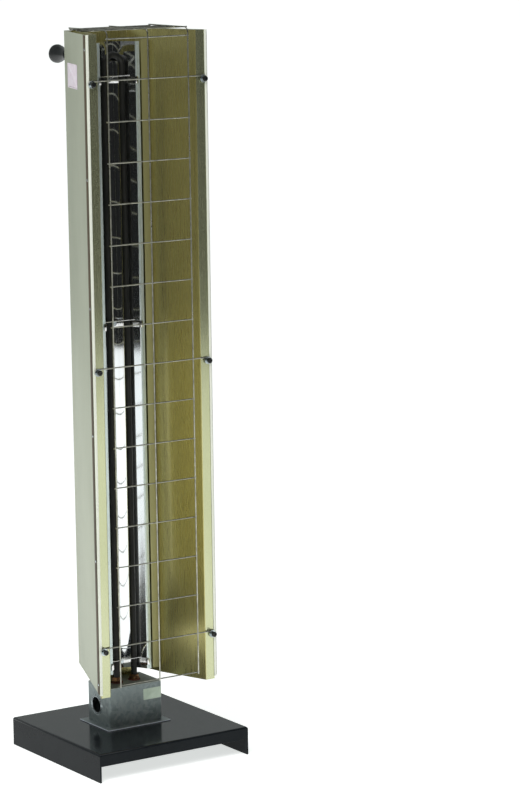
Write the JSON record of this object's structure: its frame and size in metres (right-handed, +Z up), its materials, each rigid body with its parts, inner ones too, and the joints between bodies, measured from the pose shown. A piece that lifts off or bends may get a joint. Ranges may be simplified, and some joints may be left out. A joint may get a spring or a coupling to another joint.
{
  "type": "free-standing electric radiant heater",
  "caption": "Tall free-standing electric radiant heater: black base, terminal box, flared double-walled housing, mirror trough, U-shaped element and wire guard.",
  "frame": {"origin": "middle of the base's underside, at the level of the ground", "axes": "+Z up along the housing, -Y the way the heater faces, +X to the right of a person who looks at its front"},
  "size_m": [0.3048, 0.3048, 1.2861],
  "materials": {
    "black_paint": "gloss",
    "galvanised_steel": "satin",
    "pale_anodised": "satin",
    "gold_anodised": "satin",
    "back_skin": "satin",
    "mirror_aluminium": "polished",
    "spring_steel": "bright",
    "guard_wire": "bright",
    "black_sheath": "matt",
    "brass": "satin",
    "zinc_fastener": "bright",
    "black_plastic": "satin",
    "red_silicone": "matt",
    "white_ceramic": "matt",
    "lead_sleeve": "matt",
    "lead_jacket": "matt",
    "green_screw": "satin",
    "plate_label": "satin",
    "paper_label": "matt"
  },
  "bodies": {
    "heater": {"back_panel": "back_skin", "back_panel_screws": "zinc_fastener", "base_plate": "black_paint", "box_back_screws": "zinc_fastener", "box_bolts": "zinc_fastener", "box_cover": "galvanised_steel", "box_cover_screws": "zinc_fastener", "box_flange_plate": "galvanised_steel", "box_nuts": "zinc_fastener", "bushing_gaskets": "red_silicone", "bushing_nuts": "brass", "carry_knob_left": "black_plastic", "carry_knob_right": "black_plastic", "element_bushings": "brass", "element_lead_left": "lead_sleeve", "element_lead_right": "lead_sleeve", "element_support_lower": "spring_steel", "element_support_middle": "spring_steel", "element_support_upper": "spring_steel", "element_tube": "black_sheath", "ground_screw": "green_screw", "guard_nuts": "zinc_fastener", "guard_screw_caps": "black_plastic", "guard_screws": "zinc_fastener", "guard_washers": "zinc_fastener", "knob_nuts": "zinc_fastener", "knob_studs": "zinc_fastener", "knob_washers": "zinc_fastener", "lead_grommet": "lead_jacket", "mirror_nuts": "zinc_fastener", "mirror_reflector": "mirror_aluminium", "mirror_screws": "zinc_fastener", "mirror_stay_lower": "zinc_fastener", "mirror_stay_middle": "zinc_fastener", "mirror_stay_upper": "zinc_fastener", "outer_panel_left": "pale_anodised", "outer_panel_right": "pale_anodised", "pin_insulators": "white_ceramic", "rating_plate": "plate_label", "reflector_wing_left": "gold_anodised", "reflector_wing_right": "gold_anodised", "seam_rivets_left": "zinc_fastener", "seam_rivets_right": "zinc_fastener", "side_sticker": "paper_label", "stay_screws": "zinc_fastener", "support_bails": "spring_steel", "switch_body": "black_plastic", "switch_bracket": "zinc_fastener", "switch_cap": "black_plastic", "switch_lead": "lead_jacket", "switch_screws": "zinc_fastener", "switch_spring": "zinc_fastener", "terminal_block": "black_plastic", "terminal_box": "galvanised_steel", "terminal_pins": "brass", "terminal_screws": "brass", "trough_rail_left": "gold_anodised", "trough_rail_right": "gold_anodised", "wire_guard": "guard_wire", "wire_guard_top": "guard_wire"},
    "tip_plunger": {"switch_plunger": "black_plastic"}
  },
  "joints": [
    {"name": "tip_switch_travel", "type": "slide", "parent": "heater", "child": "tip_plunger", "axis": [0, 0, 1], "range_m": [-0.006, 0], "stiffness_N_per_m": 150, "springref_m": -0.012}
  ]
}
